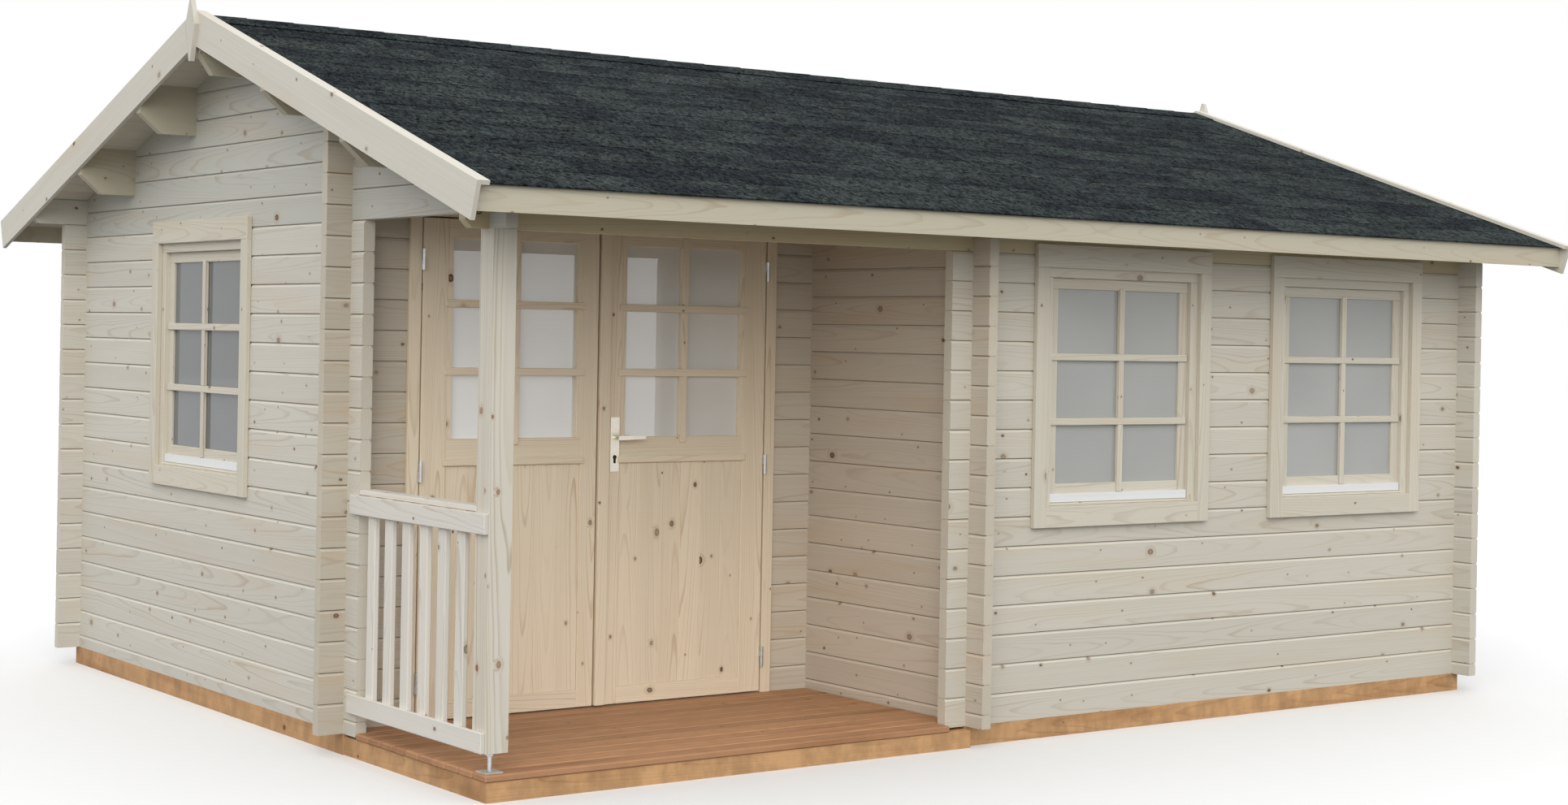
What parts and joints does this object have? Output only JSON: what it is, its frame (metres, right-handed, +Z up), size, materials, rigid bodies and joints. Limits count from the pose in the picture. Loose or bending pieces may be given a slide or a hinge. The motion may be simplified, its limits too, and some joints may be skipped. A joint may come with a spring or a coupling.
{
  "type": "garden house",
  "caption": "Garden house of interlocking logs with a shallow gabled roof, a corner porch with post and railing, a glazed double door that opens outward, and cased windows.",
  "frame": {"origin": "on the ground under the middle of the house, halfway between the left and right walls and between the front and back walls", "axes": "+X along the ridge towards the right gable, +Y from the front wall to the back wall, +Z up"},
  "size_m": [5.582, 4.648, 2.8323],
  "materials": {
    "treated_wood": "sawn, brown impregnated",
    "floor_wood": "planed, untreated",
    "log_wood": "planed, untreated pale spruce",
    "roof_wood": "planed, untreated",
    "shingle": "matte bitumen with mineral granules",
    "trim_wood": "planed, untreated pale spruce",
    "joinery_wood": "planed, untreated pale spruce",
    "galvanised": "galvanised",
    "handle_metal": "satin",
    "pane": "clear"
  },
  "bodies": {
    "house": {"base_long_beams": "treated_wood", "base_cross_beams": "treated_wood", "floor_joists": "treated_wood", "porch_front_beam": "treated_wood", "porch_joists": "treated_wood", "porch_deck": "treated_wood", "room_floor": "floor_wood", "left_wall": "log_wood", "right_wall": "log_wood", "back_wall": "log_wood", "front_wall": "log_wood", "door_wall_left": "log_wood", "door_wall_right": "log_wood", "door_wall_top": "log_wood", "porch_side_wall": "log_wood", "left_gable": "log_wood", "front_beam": "log_wood", "front_eaves_log": "log_wood", "back_eaves_log": "log_wood", "ridge_purlin": "log_wood", "front_purlins": "log_wood", "back_purlins": "log_wood", "porch_post": "log_wood", "roof_boards_front": "roof_wood", "roof_boards_back": "roof_wood", "shingles_front": "shingle", "shingles_back": "shingle", "left_barge_front": "trim_wood", "left_barge_back": "trim_wood", "right_barge_front": "trim_wood", "right_barge_back": "trim_wood", "finials": "trim_wood", "fascias": "trim_wood", "rails": "trim_wood", "handrail": "trim_wood", "balusters": "trim_wood", "door_frame": "joinery_wood", "door_casing": "joinery_wood", "door_threshold": "joinery_wood", "window_casings": "joinery_wood", "window_frames": "joinery_wood", "window_sashes": "joinery_wood", "post_foot": "galvanised", "hinge_pins": "galvanised", "window_glass": "pane"},
    "left_door": {"left_leaf": "joinery_wood", "left_leaf_glass": "pane", "left_knuckles": "galvanised"},
    "right_door": {"right_leaf": "joinery_wood", "right_leaf_glass": "pane", "right_knuckles": "galvanised", "handle_plate": "handle_metal"},
    "lever_body": {"lever": "handle_metal"}
  },
  "joints": [
    {"name": "left_door_hinge", "type": "hinge", "parent": "house", "child": "left_door", "pos_m": [-2.234, -0.92, 1.035], "axis": [0, 0, -1], "range_deg": [0, 90]},
    {"name": "right_door_hinge", "type": "hinge", "parent": "house", "child": "right_door", "pos_m": [-0.666, -0.92, 1.035], "axis": [0, 0, 1], "range_deg": [0, 90]},
    {"name": "lever_pivot", "type": "hinge", "parent": "right_door", "child": "lever_body", "pos_m": [-1.386, -0.933, 1.151], "axis": [0, 1, 0], "range_deg": [0, 40], "stiffness_Nm_per_rad": 1.5, "springref_deg": -28.65}
  ]
}
